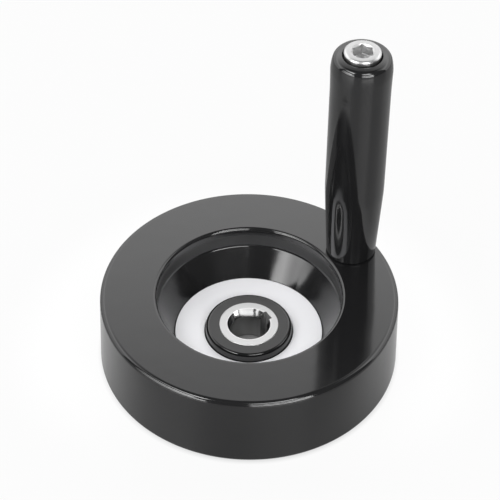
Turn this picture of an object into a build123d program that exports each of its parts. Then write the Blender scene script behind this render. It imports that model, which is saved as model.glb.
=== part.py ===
"""Machine handwheel with a revolving handle.

A thick moulded wheel carries a steel hub bush with a keyed bore, a satin trim ring
around the hub, and a long grip that turns on a steel spindle screwed into the rim.

Frame: millimetres, +Z up along the shaft axis, origin where that axis meets the plane
of the rim's foot, +X towards the handle.
"""

from build123d import *
import math
import os

os.makedirs("parts", exist_ok=True)

# ---------------------------------------------------------------- driving dimensions

# Rim: outside of the wheel, a little narrower at the top so that it leaves its mould
rim_diameter = 80.0  # across the foot
rim_height = 21.5
rim_width = 14.85  # across the top face, from the outer wall to the dish
rim_draft = 1.3  # degrees
rim_top_rounding = 1.4
rim_foot_rounding = 1.2

# Dish: an almost upright band under the mouth, then a conical wall down to the floor
mouth_rounding = 0.85
band_depth = 6.2
band_draft = 0.5  # degrees
band_blend = 1.6

# Web, and the shallow recess behind it that leaves the rim's foot as a ring
web_thickness = 4.4
recess_depth = 2.2
recess_draft = 4.0  # degrees
recess_rounding = 0.8
foot_ring_width = 14.2
foot_edge_rounding = 0.4

# Hub boss, moulded round the steel bush
boss_wall = 3.5
boss_rise = 2.25  # above the face of the trim ring
boss_draft = 6.0  # degrees
boss_rounding = 0.9

# Hub bush: bore for the shaft with a conical lead-in and a keyway
bore_diameter = 10.0
bush_wall = 3.0
bush_stand_out = 0.15  # bush face above the boss face
bush_edge_chamfer = 0.15
lead_in_width = 0.8  # ring that the lead-in leaves between bore and face
lead_in_angle = 19.0  # degrees from the axis
bore_back_chamfer = 0.5
keyway_width = 3.0
keyway_depth = 1.4  # beyond the wall of the bore
waist_height = 3.6  # lower edge of the waist above the bush's back
waist_width = 2.4
waist_depth = 0.7  # the moulding fills the waist, so the bush can't be pulled out
waist_flat_depth = 0.8  # two flats milled in the waist stop the bush turning

# Trim ring: stamped sheet glued to the dish floor
trim_width = 7.8
trim_thickness = 0.8
trim_edge_gap = 0.15  # to the conical wall and to the boss
trim_edge_chamfer = 0.12

# Grip: tapered foot, long straight body, slightly fuller end with a domed face
grip_length = 66.7
grip_diameter = 15.56
grip_foot_diameter = 13.3
grip_foot_rounding = 0.5
taper_length = 22.0
taper_blend = 70.0
bead_diameter = 15.9  # fullest part, before it is blended
bead_drop = 3.0  # from the end to the fullest part
bead_length = 6.6  # from the end to where the straight body starts
bead_blend = 8.0
neck_blend = 30.0
shoulder_diameter = 14.5
shoulder_fall = 0.35  # the face slopes this much down to the shoulder
shoulder_rounding = 1.5
grip_lip_rounding = 0.3
grip_bore_chamfer = 0.5
handle_outset = 0.4  # handle axis outside the middle of the rim's top face

# Spindle: shouldered steel pin with a socket head, sunk in the grip's end
spindle_diameter = 8.0
head_diameter = 9.5
head_height = 6.0
head_stand_out = 1.3  # above the end of the grip
head_under_chamfer = 0.15
crown_height = 0.5
crown_run = 0.65
crown_radius = 1.2
socket_across_flats = 5.0
socket_depth = 3.0
socket_lead_in = 0.1  # countersink beyond the hexagon's corners
socket_point_angle = 60.0  # degrees from the axis

# Screwed end of the spindle
thread_diameter = 6.0
thread_length = 9.5
thread_end_chamfer = 0.8
relief_width = 1.2
relief_depth = 0.7

# Threaded insert moulded into the rim
insert_wall = 1.5
insert_spare = 1.5  # thread left below the end of the spindle
insert_waist_width = 2.5
insert_waist_depth = 0.5
insert_mouth_chamfer = 0.4

# Clearances
moulded_gap = 0.02  # moulding round a metal insert
thread_gap = 0.02
running_gap = 0.05  # grip on the spindle, radial
head_gap = 0.28  # head in its counterbore, radial
end_float = 0.2  # grip above the rim, and head above its seat

# ---------------------------------------------------------------- derived places


def lean(height, degrees_from_upright):
    """How far a drafted wall leans over a given height."""
    return height * math.tan(math.radians(degrees_from_upright))


foot_radius = rim_diameter / 2
top_radius = foot_radius - lean(rim_height, rim_draft)
mouth_radius = top_radius - rim_width
band_radius = mouth_radius - lean(band_depth, band_draft)

floor_height = recess_depth + web_thickness
trim_face = floor_height + trim_thickness
boss_face = trim_face + boss_rise
bush_face = boss_face + bush_stand_out

bore_radius = bore_diameter / 2
bush_radius = bore_radius + bush_wall
waist_radius = bush_radius - waist_depth
waist_flat = waist_radius - waist_flat_depth
boss_radius = bush_radius + boss_wall
boss_foot_radius = boss_radius + lean(boss_face - floor_height, boss_draft)
boss_root_radius = boss_radius + lean(recess_depth, recess_draft)
trim_inner_radius = boss_foot_radius + trim_edge_gap
trim_outer_radius = trim_inner_radius + trim_width
cone_foot_radius = trim_outer_radius + trim_edge_gap
recess_radius = foot_radius - foot_ring_width
recess_root_radius = recess_radius - lean(recess_depth, recess_draft)

handle_radius = (top_radius + mouth_radius) / 2 + handle_outset
handle_axis = Axis((handle_radius, 0, 0), (0, 0, 1))
# Radii from the handle axis, heights from the rim's top face
handle_section = Plane(origin=(handle_radius, 0, rim_height), x_dir=(1, 0, 0), z_dir=(0, -1, 0))

grip_low = end_float
grip_high = grip_low + grip_length
head_high = grip_high + head_stand_out
head_low = head_high - head_height
head_seat = head_low - end_float


def rounded_outline(corners):
    """Draw a closed line through (radius, height, rounding) corners."""
    points = [(radius, height) for radius, height, _ in corners]
    roundings = [rounding for _, _, rounding in corners]
    FilletPolyline(*points, radius=roundings, close=True)


def waisted_wall(radius, waist_radius, waist_low, waist_high, gap):
    """Wall of a waisted insert, from its lower to its upper end, grown by a gap."""
    return [
        (radius + gap, waist_low + gap),
        (waist_radius + gap, waist_low + gap),
        (waist_radius + gap, waist_high - gap),
        (radius + gap, waist_high - gap),
    ]


# ---------------------------------------------------------------- hub bush

bush_waist = (bush_radius, waist_radius, waist_height, waist_height + waist_width)

with BuildPart() as hub_bush:
    with BuildSketch(Plane.XZ) as bush_section:
        lead_in_radius = bore_radius + lead_in_width
        lead_in_depth = lead_in_width / math.tan(math.radians(lead_in_angle))
        with BuildLine():
            Polyline(
                (bore_radius + bore_back_chamfer, 0),
                (bush_radius - bush_edge_chamfer, 0),
                (bush_radius, bush_edge_chamfer),
                *waisted_wall(*bush_waist, 0),
                (bush_radius, bush_face - bush_edge_chamfer),
                (bush_radius - bush_edge_chamfer, bush_face),
                (lead_in_radius, bush_face),
                (bore_radius, bush_face - lead_in_depth),
                (bore_radius, bore_back_chamfer),
                close=True,
            )
        make_face()
    revolve(axis=Axis.Z)
    # Flats milled in the waist, either side of the keyway
    with BuildSketch(Plane.XY.offset(waist_height)) as waist_flats:
        with Locations((0, waist_radius), (0, -waist_radius)):
            Rectangle(2 * waist_radius, 2 * waist_flat_depth)
    extrude(amount=waist_width, mode=Mode.SUBTRACT)
    # Keyway broached from end to end, on the side of the handle
    with BuildSketch(Plane.XY) as keyway:
        keyway_reach = bore_radius + keyway_depth
        with Locations((keyway_reach / 2, 0)):
            Rectangle(keyway_reach, keyway_width)
    extrude(amount=bush_face, mode=Mode.SUBTRACT)

hub_bush.part.label = "hub_bush"
export_step(hub_bush.part, "parts/hub_bush.step")

# ---------------------------------------------------------------- rim insert

insert_radius = thread_diameter / 2 + insert_wall
insert_length = thread_length + insert_spare
insert_waist_low = -(insert_length + insert_waist_width) / 2
insert_waist = (
    insert_radius,
    insert_radius - insert_waist_depth,
    insert_waist_low,
    insert_waist_low + insert_waist_width,
)

with BuildPart() as rim_insert:
    with BuildSketch(handle_section) as insert_section:
        hole_radius = thread_diameter / 2 + thread_gap
        with BuildLine():
            Polyline(
                (hole_radius, -insert_length),
                (insert_radius, -insert_length),
                *waisted_wall(*insert_waist, 0),
                (insert_radius, 0),
                (hole_radius + insert_mouth_chamfer, 0),
                (hole_radius, -insert_mouth_chamfer),
                close=True,
            )
        make_face()
    revolve(axis=handle_axis)

rim_insert.part.label = "rim_insert"
export_step(rim_insert.part, "parts/rim_insert.step")

# ---------------------------------------------------------------- wheel body

with BuildPart() as wheel_body:
    with BuildSketch(Plane.XZ) as wheel_section:
        socket_radius = bush_radius + moulded_gap
        socket_wall = waisted_wall(*bush_waist, moulded_gap)
        with BuildLine():
            rounded_outline(
                [
                    # Back: boss, recess, foot ring
                    (socket_radius, 0, 0),
                    (boss_radius, 0, foot_edge_rounding),
                    (boss_root_radius, recess_depth, recess_rounding),
                    (recess_root_radius, recess_depth, recess_rounding),
                    (recess_radius, 0, foot_edge_rounding),
                    # Rim
                    (foot_radius, 0, rim_foot_rounding),
                    (top_radius, rim_height, rim_top_rounding),
                    (mouth_radius, rim_height, mouth_rounding),
                    # Dish, with a seat sunk for the trim ring
                    (band_radius, rim_height - band_depth, band_blend),
                    (cone_foot_radius, trim_face, 0),
                    (cone_foot_radius, floor_height, 0),
                    # Boss and the socket that the bush fills
                    (boss_foot_radius, floor_height, 0),
                    (boss_radius, boss_face, boss_rounding),
                    (socket_radius, boss_face, 0),
                    *[(radius, height, 0) for radius, height in reversed(socket_wall)],
                ]
            )
        make_face()
    revolve(axis=Axis.Z)
    # The moulding fills the flats of the bush's waist
    with BuildSketch(Plane.XY.offset(waist_height + moulded_gap)) as flat_fill:
        Circle(bush_radius + boss_wall / 2)
        Rectangle(2 * boss_radius, 2 * (waist_flat + moulded_gap), mode=Mode.SUBTRACT)
    extrude(amount=waist_width - 2 * moulded_gap)
    # Pocket round the handle's threaded insert
    with BuildSketch(handle_section) as insert_pocket:
        pocket_radius = insert_radius + moulded_gap
        pocket_floor = -insert_length - moulded_gap
        with BuildLine():
            Polyline(
                (0, pocket_floor),
                (pocket_radius, pocket_floor),
                *waisted_wall(*insert_waist, moulded_gap),
                (pocket_radius, 0),
                (0, 0),
                close=True,
            )
        make_face()
    revolve(axis=handle_axis, mode=Mode.SUBTRACT)

wheel_body.part.label = "wheel_body"
export_step(wheel_body.part, "parts/wheel_body.step")

# ---------------------------------------------------------------- trim ring

with BuildPart() as trim_ring:
    with BuildSketch(Plane.XY.offset(floor_height)) as trim_blank:
        Circle(trim_outer_radius)
        Circle(trim_inner_radius, mode=Mode.SUBTRACT)
    extrude(amount=trim_thickness)
    # The stamping leaves the upper edges slightly broken
    upper_edges = trim_ring.faces().sort_by(Axis.Z)[-1].edges()
    chamfer(upper_edges, length=trim_edge_chamfer)

trim_ring.part.label = "trim_ring"
export_step(trim_ring.part, "parts/trim_ring.step")

# ---------------------------------------------------------------- handle grip

with BuildPart() as handle_grip:
    with BuildSketch(handle_section) as grip_section:
        grip_radius = grip_diameter / 2
        bead_radius = bead_diameter / 2
        grip_bore_radius = spindle_diameter / 2 + running_gap
        counterbore_radius = head_diameter / 2 + head_gap
        with BuildLine():
            rounded_outline(
                [
                    # Foot, taper, straight body
                    (grip_bore_radius, grip_low + grip_bore_chamfer, 0),
                    (grip_bore_radius + grip_bore_chamfer, grip_low, 0),
                    (grip_foot_diameter / 2, grip_low, grip_foot_rounding),
                    (grip_radius, grip_low + taper_length, taper_blend),
                    # Fuller end
                    (grip_radius, grip_high - bead_length, neck_blend),
                    (bead_radius, grip_high - bead_drop, bead_blend),
                    (shoulder_diameter / 2, grip_high - shoulder_fall, shoulder_rounding),
                    # Counterbore for the spindle's head
                    (counterbore_radius, grip_high, grip_lip_rounding),
                    (counterbore_radius, head_seat, 0),
                    (grip_bore_radius, head_seat, 0),
                ]
            )
        make_face()
    revolve(axis=handle_axis)

handle_grip.part.label = "handle_grip"
export_step(handle_grip.part, "parts/handle_grip.step")

# ---------------------------------------------------------------- handle spindle

with BuildPart() as handle_spindle:
    with BuildSketch(handle_section) as spindle_section:
        stud_radius = thread_diameter / 2
        relief_radius = stud_radius - relief_depth
        shank_radius = spindle_diameter / 2
        head_radius = head_diameter / 2
        with BuildLine():
            shaft_line = Polyline(
                (0, -thread_length),
                (stud_radius - thread_end_chamfer, -thread_length),
                (stud_radius, thread_end_chamfer - thread_length),
                (stud_radius, -relief_width),
                (relief_radius, -relief_width),
                (relief_radius, 0),
                (shank_radius, 0),
                (shank_radius, head_low),
                (head_radius - head_under_chamfer, head_low),
                (head_radius, head_low + head_under_chamfer),
                (head_radius, head_high - crown_height),
            )
            crown_line = RadiusArc(shaft_line @ 1, (head_radius - crown_run, head_high), -crown_radius)
            Polyline(crown_line @ 1, (0, head_high), (0, -thread_length))
        make_face()
    revolve(axis=handle_axis)
    # Hexagon socket, two of its corners in line with the shaft axis
    with BuildSketch(Plane((handle_radius, 0, rim_height + head_high))) as socket_hexagon:
        hexagon = RegularPolygon(radius=socket_across_flats / 2, side_count=6, major_radius=False)
    extrude(amount=-socket_depth, mode=Mode.SUBTRACT)
    # Countersunk mouth of the socket, and the point left by its drill
    with BuildSketch(handle_section) as socket_ends:
        point_radius = socket_across_flats / 2
        point_depth = point_radius / math.tan(math.radians(socket_point_angle))
        mouth_reach = point_radius / math.cos(math.radians(180 / 6)) + socket_lead_in
        socket_floor = head_high - socket_depth
        with BuildLine():
            Polyline((0, head_high), (mouth_reach, head_high), (0, head_high - mouth_reach), close=True)
        make_face()
        with BuildLine():
            Polyline(
                (0, socket_floor),
                (point_radius, socket_floor),
                (0, socket_floor - point_depth),
                close=True,
            )
        make_face()
    revolve(axis=handle_axis, mode=Mode.SUBTRACT)

handle_spindle.part.label = "handle_spindle"
export_step(handle_spindle.part, "parts/handle_spindle.step")
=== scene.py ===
"""Machine handwheel with a revolving handle, on a pale studio floor.

Pieces follow in the order in which the real wheel is put together: the bush and the
insert go into the mould, the wheel is pressed round them, the trim ring is glued in,
and the spindle carries the grip and screws it to the rim. The wheel's sizes are in
millimetres, and the studio's in metres.
"""

import math

import bmesh
import bpy
from mathutils import Matrix, Vector


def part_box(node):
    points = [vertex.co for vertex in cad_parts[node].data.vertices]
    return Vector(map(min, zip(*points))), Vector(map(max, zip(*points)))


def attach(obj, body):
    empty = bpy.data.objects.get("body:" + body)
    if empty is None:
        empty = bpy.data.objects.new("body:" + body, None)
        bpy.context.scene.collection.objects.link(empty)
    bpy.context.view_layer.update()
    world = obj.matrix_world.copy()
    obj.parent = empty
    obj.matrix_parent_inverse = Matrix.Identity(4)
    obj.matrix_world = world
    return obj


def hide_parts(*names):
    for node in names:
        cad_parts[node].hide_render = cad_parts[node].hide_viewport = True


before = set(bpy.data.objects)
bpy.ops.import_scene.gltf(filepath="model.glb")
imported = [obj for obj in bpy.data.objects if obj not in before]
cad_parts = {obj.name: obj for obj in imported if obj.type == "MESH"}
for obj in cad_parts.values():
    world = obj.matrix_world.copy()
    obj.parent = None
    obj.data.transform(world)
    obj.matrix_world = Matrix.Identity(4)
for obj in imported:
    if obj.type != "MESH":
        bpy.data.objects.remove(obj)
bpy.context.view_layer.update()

# ---------------------------------------------------------------- hub bush
# Steel bush, turned on a lathe, broached for the key and nickel plated. Its face keeps
# the fine rings of turning, the lead-in is smooth and bright, and the bore and the keyway
# are duller, and painted darker as painted shade.

MM = 0.001
merge_distance = 1e-7  # metres


class Wire:
    """One output of a shader node, or a sum of several, written as plain arithmetic."""

    def __init__(self, nodes, socket):
        self.nodes = nodes
        self.socket = socket

    def combine(self, operation, *values):
        return self.nodes.node("Math", {"operation": operation}, sockets=values)

    def __add__(self, other):
        return self.combine("ADD", self, other)

    __radd__ = __add__

    def __sub__(self, other):
        return self.combine("SUBTRACT", self, other)

    def __rsub__(self, other):
        return self.combine("SUBTRACT", other, self)

    def __mul__(self, other):
        return self.combine("MULTIPLY", self, other)

    __rmul__ = __mul__

    def __truediv__(self, other):
        return self.combine("DIVIDE", self, other)

    def __pow__(self, other):
        return self.combine("POWER", self, other)

    def __abs__(self):
        return self.combine("ABSOLUTE", self)

    def __gt__(self, other):
        return self.combine("GREATER_THAN", self, other)

    def __lt__(self, other):
        return self.combine("LESS_THAN", self, other)

    def at_least(self, other):
        return self.combine("MAXIMUM", self, other)

    def at_most(self, other):
        return self.combine("MINIMUM", self, other)


class Nodes:
    """A node tree, with one way of adding any node to it."""

    def __init__(self, tree):
        self.tree = tree

    def node(self, kind, settings=None, output=0, sockets=(), **named):
        """Add a node: its settings first, then values or wires for its sockets."""
        node = self.tree.nodes.new("ShaderNode" + kind)
        for setting, value in (settings or {}).items():
            if setting == "stops":
                ramp = node.color_ramp.elements
                while len(ramp) < len(value):
                    ramp.new(1)
                for stop, (position, grey) in zip(ramp, value):
                    stop.position = position
                    stop.color = (grey, grey, grey, 1)
            else:
                setattr(node, setting, value)
        given = list(enumerate(sockets))
        given += [(name.replace("_", " ").title(), value) for name, value in named.items()]
        for socket, value in given:
            self.feed(node.inputs[socket], value)
        return Wire(self, node.outputs[output])

    def feed(self, socket, value):
        if isinstance(value, Wire):
            self.tree.links.new(value.socket, socket)
        else:
            socket.default_value = value

    def ease(self, value, low, high):
        """Go gently from 0 to 1 as a value goes from low to high."""
        way = {"interpolation_type": "SMOOTHSTEP"}
        return self.node("MapRange", way, value=value, from_min=low, from_max=high)


class Finish(Nodes):
    """A material in the making: one Principled shader, and where its surface lies.

    Its methods take sizes in millimetres, and its wires carry metres.
    """

    def __init__(self, name, colour, **shader_values):
        self.material = bpy.data.materials.new(name)
        self.material.use_nodes = True
        super().__init__(self.material.node_tree)
        self.shader = self.tree.nodes["Principled BSDF"]
        self.shader.inputs["Base Color"].default_value = (*colour, 1)
        for socket, value in shader_values.items():
            self.shader.inputs[socket].default_value = value
        self.place = self.node("TexCoord", output="Object")
        self.x, self.y, self.height = (
            self.node("SeparateXYZ", output=axis, vector=self.place) for axis in "XYZ"
        )
        self.radius = self.from_axis(0.0)

    def from_axis(self, axis_x):
        """Distance from the upright axis at that x."""
        aside = self.x - axis_x * MM
        return (aside * aside + self.y * self.y) ** 0.5

    def between(self, distance, low, high):
        """1 where a distance lies between two sizes, and 0 elsewhere."""
        return (distance > low * MM) * (distance < high * MM)

    def drop_below(self, top, depth):
        """How far the surface lies below a height, down to a depth."""
        return (top * MM - self.height).at_least(0.0).at_most(depth * MM)

    def noise(self, size, detail=2.0):
        """Cloudy variation whose patches are about that size."""
        return self.node("TexNoise", vector=self.place, scale=1 / (size * MM), detail=detail)

    def rings(self, along, size):
        """Marks of turning: variation along a distance alone, in bands of about that size."""
        line = {"noise_dimensions": "1D"}
        return self.node("TexNoise", line, w=along, scale=1 / (size * MM), detail=1.0)

    def grey(self, level):
        self.feed_shader("Base Color", self.node("CombineColor", sockets=[level, level, level]))

    def relief(self, height):
        """Shade the surface as if it were raised by a height."""
        self.feed_shader("Normal", self.node("Bump", strength=1.0, distance=1.0, height=height))

    def feed_shader(self, socket, wire):
        self.feed(self.shader.inputs[socket], wire)


def object_of(mesh, name, finish):
    """Make the bmesh an object of one material, at the origin."""
    data = bpy.data.meshes.new(name)
    mesh.to_mesh(data)
    mesh.free()
    data.materials.append(finish.material)
    made = bpy.data.objects.new(name, data)
    bpy.context.scene.collection.objects.link(made)
    return made


def finished_piece(mesh, name, finish, body, node, crease=15):
    """Make the bmesh an object that rides on a body and stands for a CAD node.

    Edges sharper than the crease, in degrees, stay sharp.
    """
    for edge in mesh.edges:
        edge.smooth = len(edge.link_faces) == 2 and edge.calc_face_angle() < math.radians(crease)
    for face in mesh.faces:
        face.smooth = True
    piece = object_of(mesh, name, finish)
    normals = piece.modifiers.new("even_shading", "WEIGHTED_NORMAL")
    normals.keep_sharp = True
    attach(piece, body)
    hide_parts(node)


def merged_copy(node):
    """The CAD node's own shape, with its loose triangles joined."""
    mesh = bmesh.new()
    mesh.from_mesh(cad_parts[node].data)
    bmesh.ops.remove_doubles(mesh, verts=mesh.verts, dist=merge_distance)
    return mesh


bush_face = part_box("hub_bush")[1].z / MM
bore_radius = 5.0
lead_in_width = 0.8
lead_in_angle = 19.0  # degrees from the axis
lead_in_depth = lead_in_width / math.tan(math.radians(lead_in_angle))
lead_in_slope = 0.062  # by which its shading alone opens wider, about 3 degrees
polished_edge = 0.1  # of the face, round the lead-in
keyway_width = 3.0
keyway_reach = 6.4  # from the axis to the keyway's floor
skin = 0.01  # so that the keyway's walls count as inside it, and the face doesn't

bush_steel = Finish("nickel_plated_steel", (0.67, 0.67, 0.67), Metallic=1.0)
turning_rings = bush_steel.rings(bush_steel.radius, 0.4)
below_face = bush_steel.drop_below(bush_face, lead_in_depth)
outside_lead_in = bush_steel.radius > (bore_radius + lead_in_width + polished_edge) * MM
below_lead_in = bush_steel.height < (bush_face - lead_in_depth) * MM
in_keyway = (
    bush_steel.between(bush_steel.x, 0.0, keyway_reach + skin)
    * (abs(bush_steel.y) < (keyway_width / 2 + skin) * MM)
    * (below_face > skin * MM)
)
bore_and_keyway = (below_lead_in * (1 - outside_lead_in)).at_least(in_keyway)
dullness = turning_rings * 0.04 + outside_lead_in * 0.36 + bore_and_keyway * 0.2
# Painted shade: the bore and the keyway are given a darker grey
bush_steel.grey(0.625 + turning_rings * 0.06 - bore_and_keyway * 0.26)
bush_steel.feed_shader("Roughness", 0.10 + dullness)
bush_steel.relief(below_face * lead_in_slope + turning_rings * 0.002 * MM)

finished_piece(
    merged_copy("hub_bush"),
    name="bush",
    finish=bush_steel,
    body="wheel",
    node="hub_bush",
)

# ---------------------------------------------------------------- rim insert
# Threaded brass insert with a waist, turned from bar and moulded into the rim under the
# handle. It keeps the lathe's rings and has dulled a little from the heat of moulding.

insert_brass = Finish("turned_brass", (0.80, 0.58, 0.26), Metallic=1.0)
dulling = insert_brass.noise(1.5)
lathe_rings = insert_brass.rings(insert_brass.height, 0.3)
insert_brass.feed_shader("Roughness", 0.22 + dulling * 0.2)
insert_brass.relief(lathe_rings * 0.003 * MM)

finished_piece(
    merged_copy("rim_insert"),
    name="threaded_insert",
    finish=insert_brass,
    body="wheel",
    node="rim_insert",
)

# ---------------------------------------------------------------- wheel moulding
# Black phenolic, pressed hot round bush and insert in a polished mould. It comes out
# with a deep gloss, soft corners, a very slight waviness and a faint haze, and the face
# of the boss is left duller by trimming the flash from it.

rim_radius = 40.0
rim_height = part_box("wheel_body")[1].z / MM
rim_width = 14.85
rim_draft = 1.3  # degrees, as the drafts below
rim_top_rounding = 1.4
rim_foot_rounding = 1.2
mouth_rounding = 0.85
band_depth = 6.2
band_draft = 0.5
band_blend = 1.6
recess_depth = 2.2
recess_draft = 4.0
recess_rounding = 0.8
foot_ring_width = 14.2
foot_edge_rounding = 0.4
floor_height, trim_face = (corner.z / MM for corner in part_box("trim_ring"))
trim_width = 7.8
trim_edge_gap = 0.15
boss_radius = 11.5
boss_face = 9.65
boss_draft = 6.0
boss_rounding = 0.9
bush_radius = 8.0
waist_radius = 7.3
waist_low, waist_high = 3.6, 6.0
moulded_gap = 0.02
corner_segments = 12


def lean(height, degrees_from_upright):
    """How far a drafted wall leans over a given height."""
    return height * math.tan(math.radians(degrees_from_upright))


def turned(corners, steps, axis_x=0.0):
    """Spin a closed outline of (radius, height, rounding) corners about an upright axis."""
    mesh = bmesh.new()
    middle = axis_x * MM
    points = [
        mesh.verts.new((middle + radius * MM, 0, height * MM)) for radius, height, _ in corners
    ]
    for start, end in zip(points, points[1:] + points[:1]):
        mesh.edges.new((start, end))
    for point, (_, _, rounding) in zip(points, corners):
        if rounding:
            ways = [edge.other_vert(point).co - point.co for edge in point.link_edges]
            turn = math.pi - ways[0].angle(ways[1])
            bmesh.ops.bevel(
                mesh,
                geom=[point],
                offset=rounding * MM * math.tan(turn / 2),
                offset_type="OFFSET",
                segments=corner_segments,
                profile=0.5,
                affect="VERTICES",
                material=-1,
            )
    bmesh.ops.spin(
        mesh,
        geom=mesh.verts[:] + mesh.edges[:],
        cent=(middle, 0, 0),
        axis=(0, 0, 1),
        angle=2 * math.pi,
        steps=steps,
        use_merge=True,
    )
    bmesh.ops.remove_doubles(mesh, verts=mesh.verts, dist=merge_distance)
    bmesh.ops.recalc_face_normals(mesh, faces=mesh.faces)
    return mesh


top_radius = rim_radius - lean(rim_height, rim_draft)
mouth_radius = top_radius - rim_width
band_low = rim_height - band_depth
boss_foot_radius = boss_radius + lean(boss_face - floor_height, boss_draft)
trim_inner_radius = boss_foot_radius + trim_edge_gap
trim_outer_radius = trim_inner_radius + trim_width
cone_foot_radius = trim_outer_radius + trim_edge_gap
recess_radius = rim_radius - foot_ring_width
socket_radius = bush_radius + moulded_gap

wheel_outline = [
    # Back: boss, recess, foot ring
    (socket_radius, 0, 0),
    (boss_radius, 0, foot_edge_rounding),
    (boss_radius + lean(recess_depth, recess_draft), recess_depth, recess_rounding),
    (recess_radius - lean(recess_depth, recess_draft), recess_depth, recess_rounding),
    (recess_radius, 0, foot_edge_rounding),
    # Rim
    (rim_radius, 0, rim_foot_rounding),
    (top_radius, rim_height, rim_top_rounding),
    (mouth_radius, rim_height, mouth_rounding),
    # Dish: band, cone, and the sunk seat of the trim ring
    (mouth_radius - lean(band_depth, band_draft), band_low, band_blend),
    (cone_foot_radius, trim_face, 0),
    (cone_foot_radius, floor_height, 0),
    # Boss, and the socket that grips the bush's waist
    (boss_foot_radius, floor_height, 0),
    (boss_radius, boss_face, boss_rounding),
    (socket_radius, boss_face, 0),
    (socket_radius, waist_high - moulded_gap, 0),
    (waist_radius + moulded_gap, waist_high - moulded_gap, 0),
    (waist_radius + moulded_gap, waist_low + moulded_gap, 0),
    (socket_radius, waist_low + moulded_gap, 0),
]


def phenolic(name):
    """Black phenolic, with the roughness and the relief that its polished mould gives it."""
    finish = Finish(name, (0.0065, 0.0065, 0.0068), IOR=1.6)
    haze = finish.noise(4.0, detail=3.0)
    waves = finish.noise(7.0, detail=1.0)
    return finish, 0.07 + haze * 0.05, waves * 0.012 * MM


wheel_black, mould_haze, waves = phenolic("wheel_phenolic")
above_floor = wheel_black.height > floor_height * MM
on_boss = above_floor * (wheel_black.radius < (boss_radius - boss_rounding) * MM)
mouth_margin = 0.1  # counts the band's upper edge as part of the dish
dish_end = mouth_radius + mouth_margin
dish_wall = above_floor * wheel_black.between(wheel_black.radius, trim_outer_radius, dish_end)

# The cone mirrors as if it had warped: flatter on one side, and steeper and hazier a quarter
# turn away from it. Only its shading leans, by about 4 and 8 degrees, and its mesh stays round
flat_side = math.radians(33.0)  # from the Y axis towards the X axis
flatter_slope = 0.085
steeper_slope = 0.17
steep_from, steep_full = 0.62, 0.92  # sines of the angle from the flat side
along_flat = wheel_black.x * math.sin(flat_side) + wheel_black.y * math.cos(flat_side)
across_flat = wheel_black.x * math.cos(flat_side) - wheel_black.y * math.sin(flat_side)
turned_away = abs(across_flat) / wheel_black.radius
steep_sides = dish_wall * wheel_black.ease(turned_away, steep_from, steep_full)
flatter = (along_flat / wheel_black.radius).at_least(0.0) * flatter_slope
warp = dish_wall * (flatter - steep_sides * steeper_slope)
sink = wheel_black.drop_below(band_low, band_low - trim_face) * warp
cone_haze = steep_sides * (wheel_black.height < band_low * MM) * 0.14

# The band is almost upright, so it drags on the mould as it leaves it, and is duller lower
# down, most of all over the steep sides of the cone
drag_depth = 2.5
drag_low = band_low + 0.3
drag = wheel_black.drop_below(rim_height - mouth_rounding, drag_depth) / (drag_depth * MM)
on_band = dish_wall * (wheel_black.height > drag_low * MM)
drag_haze = drag * on_band * (0.3 + steep_sides * 0.25)

wheel_black.feed_shader("Roughness", mould_haze + on_boss * 0.24 + cone_haze + drag_haze)
wheel_black.relief(waves + sink)

finished_piece(
    turned(wheel_outline, steps=256),
    name="wheel",
    finish=wheel_black,
    body="wheel",
    node="wheel_body",
)

# ---------------------------------------------------------------- trim ring
# Aluminium sheet, stamped out, etched to a fine satin and clear anodised, and glued to
# the floor of the dish between boss and cone.

trim_edge_chamfer = 0.12

# The etch scatters light almost as paint does, so little of the shading is metallic
trim_aluminium = Finish("satin_aluminium", (0.83, 0.83, 0.85), Metallic=0.12)
etching = trim_aluminium.noise(0.5)
trim_aluminium.feed_shader("Roughness", 0.44 + etching * 0.12)
trim_aluminium.relief(etching * 0.004 * MM)

trim_outline = [
    (trim_inner_radius, floor_height, 0),
    (trim_outer_radius, floor_height, 0),
    (trim_outer_radius, trim_face, trim_edge_chamfer),
    (trim_inner_radius, trim_face, trim_edge_chamfer),
]
finished_piece(
    turned(trim_outline, steps=192),
    name="trim_disc",
    finish=trim_aluminium,
    body="wheel",
    node="trim_ring",
)

# ---------------------------------------------------------------- grip
# Long handle of the same phenolic as the wheel, turned and polished. It tapers towards
# the rim, swells slightly at its end, and has a counterbore for the spindle's head.

spindle_low, spindle_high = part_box("handle_spindle")
handle_x = (spindle_low.x + spindle_high.x) / 2 / MM
head_top = spindle_high.z / MM
head_stand_out = 1.3
head_height = 6.0
end_float = 0.2
grip_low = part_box("handle_grip")[0].z / MM
grip_end = head_top - head_stand_out
grip_foot_radius = 6.65
grip_foot_rounding = 0.5
grip_radius = 7.8
taper_top = grip_low + 22.0
taper_blend = 70.0
neck_height = grip_end - 10.4
neck_blend = 60.0
bead_radius = 7.95
bead_height = grip_end - 3.0
bead_blend = 12.0
shoulder_radius = 7.25
shoulder_fall = 0.35
shoulder_rounding = 1.5
counterbore_radius = 5.03
counterbore_floor = head_top - head_height - end_float
lip_rounding = 0.3
grip_bore_radius = 4.05
grip_bore_chamfer = 0.5

grip_outline = [
    (grip_bore_radius, grip_low + grip_bore_chamfer, 0),
    (grip_bore_radius + grip_bore_chamfer, grip_low, 0),
    (grip_foot_radius, grip_low, grip_foot_rounding),
    (grip_radius, taper_top, taper_blend),
    (grip_radius, neck_height, neck_blend),
    (bead_radius, bead_height, bead_blend),
    (shoulder_radius, grip_end - shoulder_fall, shoulder_rounding),
    (counterbore_radius, grip_end, lip_rounding),
    (counterbore_radius, counterbore_floor, 0),
    (grip_bore_radius, counterbore_floor, 0),
]
grip_black, mould_haze, waves = phenolic("grip_phenolic")
grip_black.feed_shader("Roughness", mould_haze)
grip_black.relief(waves)

finished_piece(
    turned(grip_outline, steps=160, axis_x=handle_x),
    name="grip",
    finish=grip_black,
    body="grip",
    node="handle_grip",
)

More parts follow.
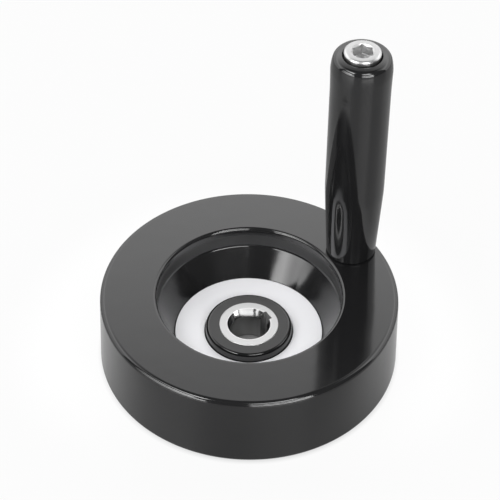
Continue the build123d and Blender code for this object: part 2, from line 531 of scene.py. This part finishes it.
# ---------------------------------------------------------------- spindle
# Shouldered steel pin with a socket head, bright plated, that screws into the insert
# and carries the grip. It shows only as the head, whose flat face is duller than the
# edge rolled round it.

face_skin = 0.03  # down to which the surface counts as the head's face
socket_depth = 3.0
socket_low = socket_depth - 0.1  # down to which its walls are duller
socket_reach = 2.95  # from its axis to just past the hexagon's corners

spindle_steel = Finish("bright_plating", (0.57, 0.57, 0.57), Metallic=1.0)
blotches = spindle_steel.noise(0.9)
below_head_face = spindle_steel.drop_below(head_top, socket_depth)
on_head_face = below_head_face < face_skin * MM
near_socket = spindle_steel.from_axis(handle_x) < socket_reach * MM
in_socket = near_socket * spindle_steel.between(below_head_face, face_skin, socket_low)
dullness = blotches * 0.14 + on_head_face * 0.26 + in_socket * 0.15
spindle_steel.grey(0.57 + in_socket * 0.06)
spindle_steel.feed_shader("Roughness", 0.24 + dullness)
spindle_steel.relief(blotches * 0.02 * MM)

finished_piece(
    merged_copy("handle_spindle"),
    name="spindle",
    finish=spindle_steel,
    body="wheel",
    node="handle_spindle",
    crease=30,
)

# ---------------------------------------------------------------- studio lamps
# Upright diffusers in front of the wheel, left and right of the camera, with a dark gap
# between them that the glossy roundings show as a break in their highlights.

view_turn = math.radians(-33.04)
lamp_distance = 0.55
cloud_scale = 5.0
cloud_strength = 0.9


def from_view(azimuth, elevation, distance):
    """A point round the wheel; azimuth 0 is towards the camera, positive to its right."""
    turn = math.radians(azimuth) + view_turn
    rise = math.radians(elevation)
    flat = distance * math.cos(rise)
    return Vector((math.sin(turn) * flat, -math.cos(turn) * flat, distance * math.sin(rise)))


def softbox(name, azimuths, elevations, radiance, ends):
    """A cloudy diffuser that covers a span of azimuth and one of elevation, in degrees.

    Its ends say what share of the radiance its left and right edges give, with a fade between.
    """
    (left, right), (bottom, top), (left_share, right_share) = azimuths, elevations, ends
    width = 2 * lamp_distance * math.tan(math.radians(right - left) / 2)
    low, high = (lamp_distance * math.tan(math.radians(angle)) for angle in (bottom, top))
    lamp = bpy.data.lights.new(name, "AREA")
    lamp.shape = "RECTANGLE"
    lamp.size = width
    lamp.size_y = high - low
    lamp.energy = radiance * math.pi * width * (high - low)
    lamp.use_nodes = True
    light = Nodes(lamp.node_tree)
    place = light.node("NewGeometry", output="Parametric")
    along = light.node("SeparateXYZ", output="X", vector=place)
    clouds = light.node("TexNoise", vector=place, scale=cloud_scale, detail=3.0)
    share = left_share + along * (right_share - left_share)
    strength = share * (1 + cloud_strength * (clouds - 0.5))
    light.feed(lamp.node_tree.nodes["Emission"].inputs["Strength"], strength)
    stand = bpy.data.objects.new(name, lamp)
    stand.location = from_view((left + right) / 2, 0, lamp_distance)
    facing = Vector((-stand.location.x, -stand.location.y, 0))
    stand.location.z = (low + high) / 2
    stand.rotation_mode = "QUATERNION"
    stand.rotation_quaternion = facing.to_track_quat("-Z", "Y")
    stand.visible_camera = False
    bpy.context.scene.collection.objects.link(stand)


softbox("left_low", (-78, -27), (6, 26), radiance=5.0, ends=(0.25, 1.55))
softbox("left_high", (-78, -37), (30, 39), radiance=8.0, ends=(0.3, 1.7))
softbox("left_top", (-85, -35), (53, 64), radiance=7.5, ends=(0.4, 1.6))
softbox("right_low", (2, 42), (8, 20), radiance=8.0, ends=(0.8, 1.3))
softbox("right_high", (2, 44), (31, 37), radiance=12.0, ends=(0.7, 1.5))
softbox("right_top", (2, 44), (53, 64), radiance=7.5, ends=(0.7, 1.5))

# ---------------------------------------------------------------- studio paper
# Paper in a half circle behind the wheel, lit so that it is brightest a little below the
# middle. The flat top of the rim mirrors it.

paper_distance = 1.1
paper_low = 0.01
paper_top = 2.2
paper_posts = 32
paper_radiance = 3.0
paper_glow = [  # share of the height, and the share of the radiance there
    (0.0, 0.40),
    (0.25, 0.50),
    (0.40, 0.80),
    (0.46, 0.74),
    (0.513, 0.60),
    (0.575, 0.44),
    (0.70, 0.28),
    (1.0, 0.05),
]

paper_mesh = bmesh.new()
foot = paper_mesh.verts.new(from_view(90, 0, paper_distance) + Vector((0, 0, paper_low)))
bmesh.ops.spin(
    paper_mesh,
    geom=[foot],
    cent=(0, 0, 0),
    axis=(0, 0, 1),
    angle=math.pi,
    steps=paper_posts,
)
raised = bmesh.ops.extrude_edge_only(paper_mesh, edges=paper_mesh.edges)["geom"]
bmesh.ops.translate(
    paper_mesh,
    verts=[part for part in raised if isinstance(part, bmesh.types.BMVert)],
    vec=(0, 0, paper_top - paper_low),
)
paper_light = Finish("paper_light", (0, 0, 0))
paper_light.shader.inputs["Emission Strength"].default_value = paper_radiance
glow = paper_light.node("ValToRGB", {"stops": paper_glow}, fac=paper_light.height / paper_top)
paper_light.feed_shader("Emission Color", glow)
paper = object_of(paper_mesh, "back_paper", paper_light)
paper.visible_camera = False

# ---------------------------------------------------------------- studio floor
# Glossy board on which the lamps glow again, grey under the wheel with a paler ring of
# painted light beside and behind it, and white round it where it is seen directly. The world
# beyond is an even white too, which lights the wheel a little less than it shows, and which
# mirrors see dimmed.

world_strength = 0.72
mirrored_strength = 0.12
board_reach = 4.0
board_grey = 0.24
painted_light_grey = 0.22  # added in a paler ring round the rim, beside the wheel and behind it
ring_start = (0.01, 0.04)  # from the wheel's axis, as the distances below
ring_end = (0.05, 0.07)
ring_front = (-0.050, -0.005)  # from the axis towards the back
white_from, white_full = 0.036, 0.041
white_share = 0.9
white_strength = 1.03

world = bpy.data.worlds.new("studio")
world.use_nodes = True
sky = Nodes(world.node_tree)
in_mirror = sky.node("LightPath", output="Is Glossy Ray")
seen_sky = sky.node("LightPath", output="Is Camera Ray")
dimming = in_mirror * (world_strength - mirrored_strength)
background = world.node_tree.nodes["Background"]
background.inputs["Color"].default_value = (1, 1, 1, 1)
sky.feed(background.inputs["Strength"], world_strength - dimming + seen_sky * (1 - world_strength))
bpy.context.scene.world = world

board_paint = Finish("floor_paint", (0.3, 0.3, 0.3), Roughness=0.3)
from_axis = board_paint.radius
backwards = board_paint.x * -math.sin(view_turn) + board_paint.y * math.cos(view_turn)
in_ring = board_paint.ease(from_axis, *ring_start) * (1 - board_paint.ease(from_axis, *ring_end))
in_ring = in_ring * board_paint.ease(backwards, *ring_front)
# Painted light: the board is paler in a ring beside and behind the wheel, which the wheel mirrors
board_paint.grey(board_grey + in_ring * painted_light_grey)

seen_board = board_paint.node("LightPath", output="Is Camera Ray")
whitened = board_paint.node(
    "MapRange", value=from_axis, from_min=white_from, from_max=white_full, to_max=white_share
)
white = board_paint.node("Emission", color=(1, 1, 1, 1), strength=white_strength)
painted = Wire(board_paint, board_paint.shader.outputs[0])
mixed = board_paint.node("MixShader", sockets=[seen_board * whitened, painted, white])
board_paint.feed(board_paint.tree.nodes["Material Output"].inputs[0], mixed)
board_mesh = bmesh.new()
bmesh.ops.create_grid(board_mesh, x_segments=1, y_segments=1, size=board_reach)
floor = object_of(board_mesh, "floor", board_paint)

# ---------------------------------------------------------------- camera
# Long lens in front of the wheel and to the left of its handle, looking down and a little
# rolled. Colours are shown as they are, without a film look.

camera_place = (-0.2121, -0.3261, 0.4147)
camera_tilt = math.radians(44.1265)
camera_roll = math.radians(0.9155)
sensor_width = 36.0  # millimetres, as the focal length
focal_length = 150.37

lens = bpy.data.cameras.new("camera")
lens.sensor_width = sensor_width
lens.lens = focal_length
camera = bpy.data.objects.new("camera", lens)
bpy.context.scene.collection.objects.link(camera)
tilted = Vector((0, math.cos(camera_tilt), -math.sin(camera_tilt)))
ahead = Matrix.Rotation(view_turn, 3, "Z") @ tilted
sideways = Vector((math.cos(view_turn), math.sin(view_turn), 0))
unrolled = Matrix((sideways, sideways.cross(ahead), -ahead)).transposed()
camera.rotation_mode = "QUATERNION"
camera.rotation_quaternion = (Matrix.Rotation(-camera_roll, 3, ahead) @ unrolled).to_quaternion()
camera.location = camera_place
bpy.context.scene.camera = camera
bpy.context.scene.view_settings.view_transform = "Standard"
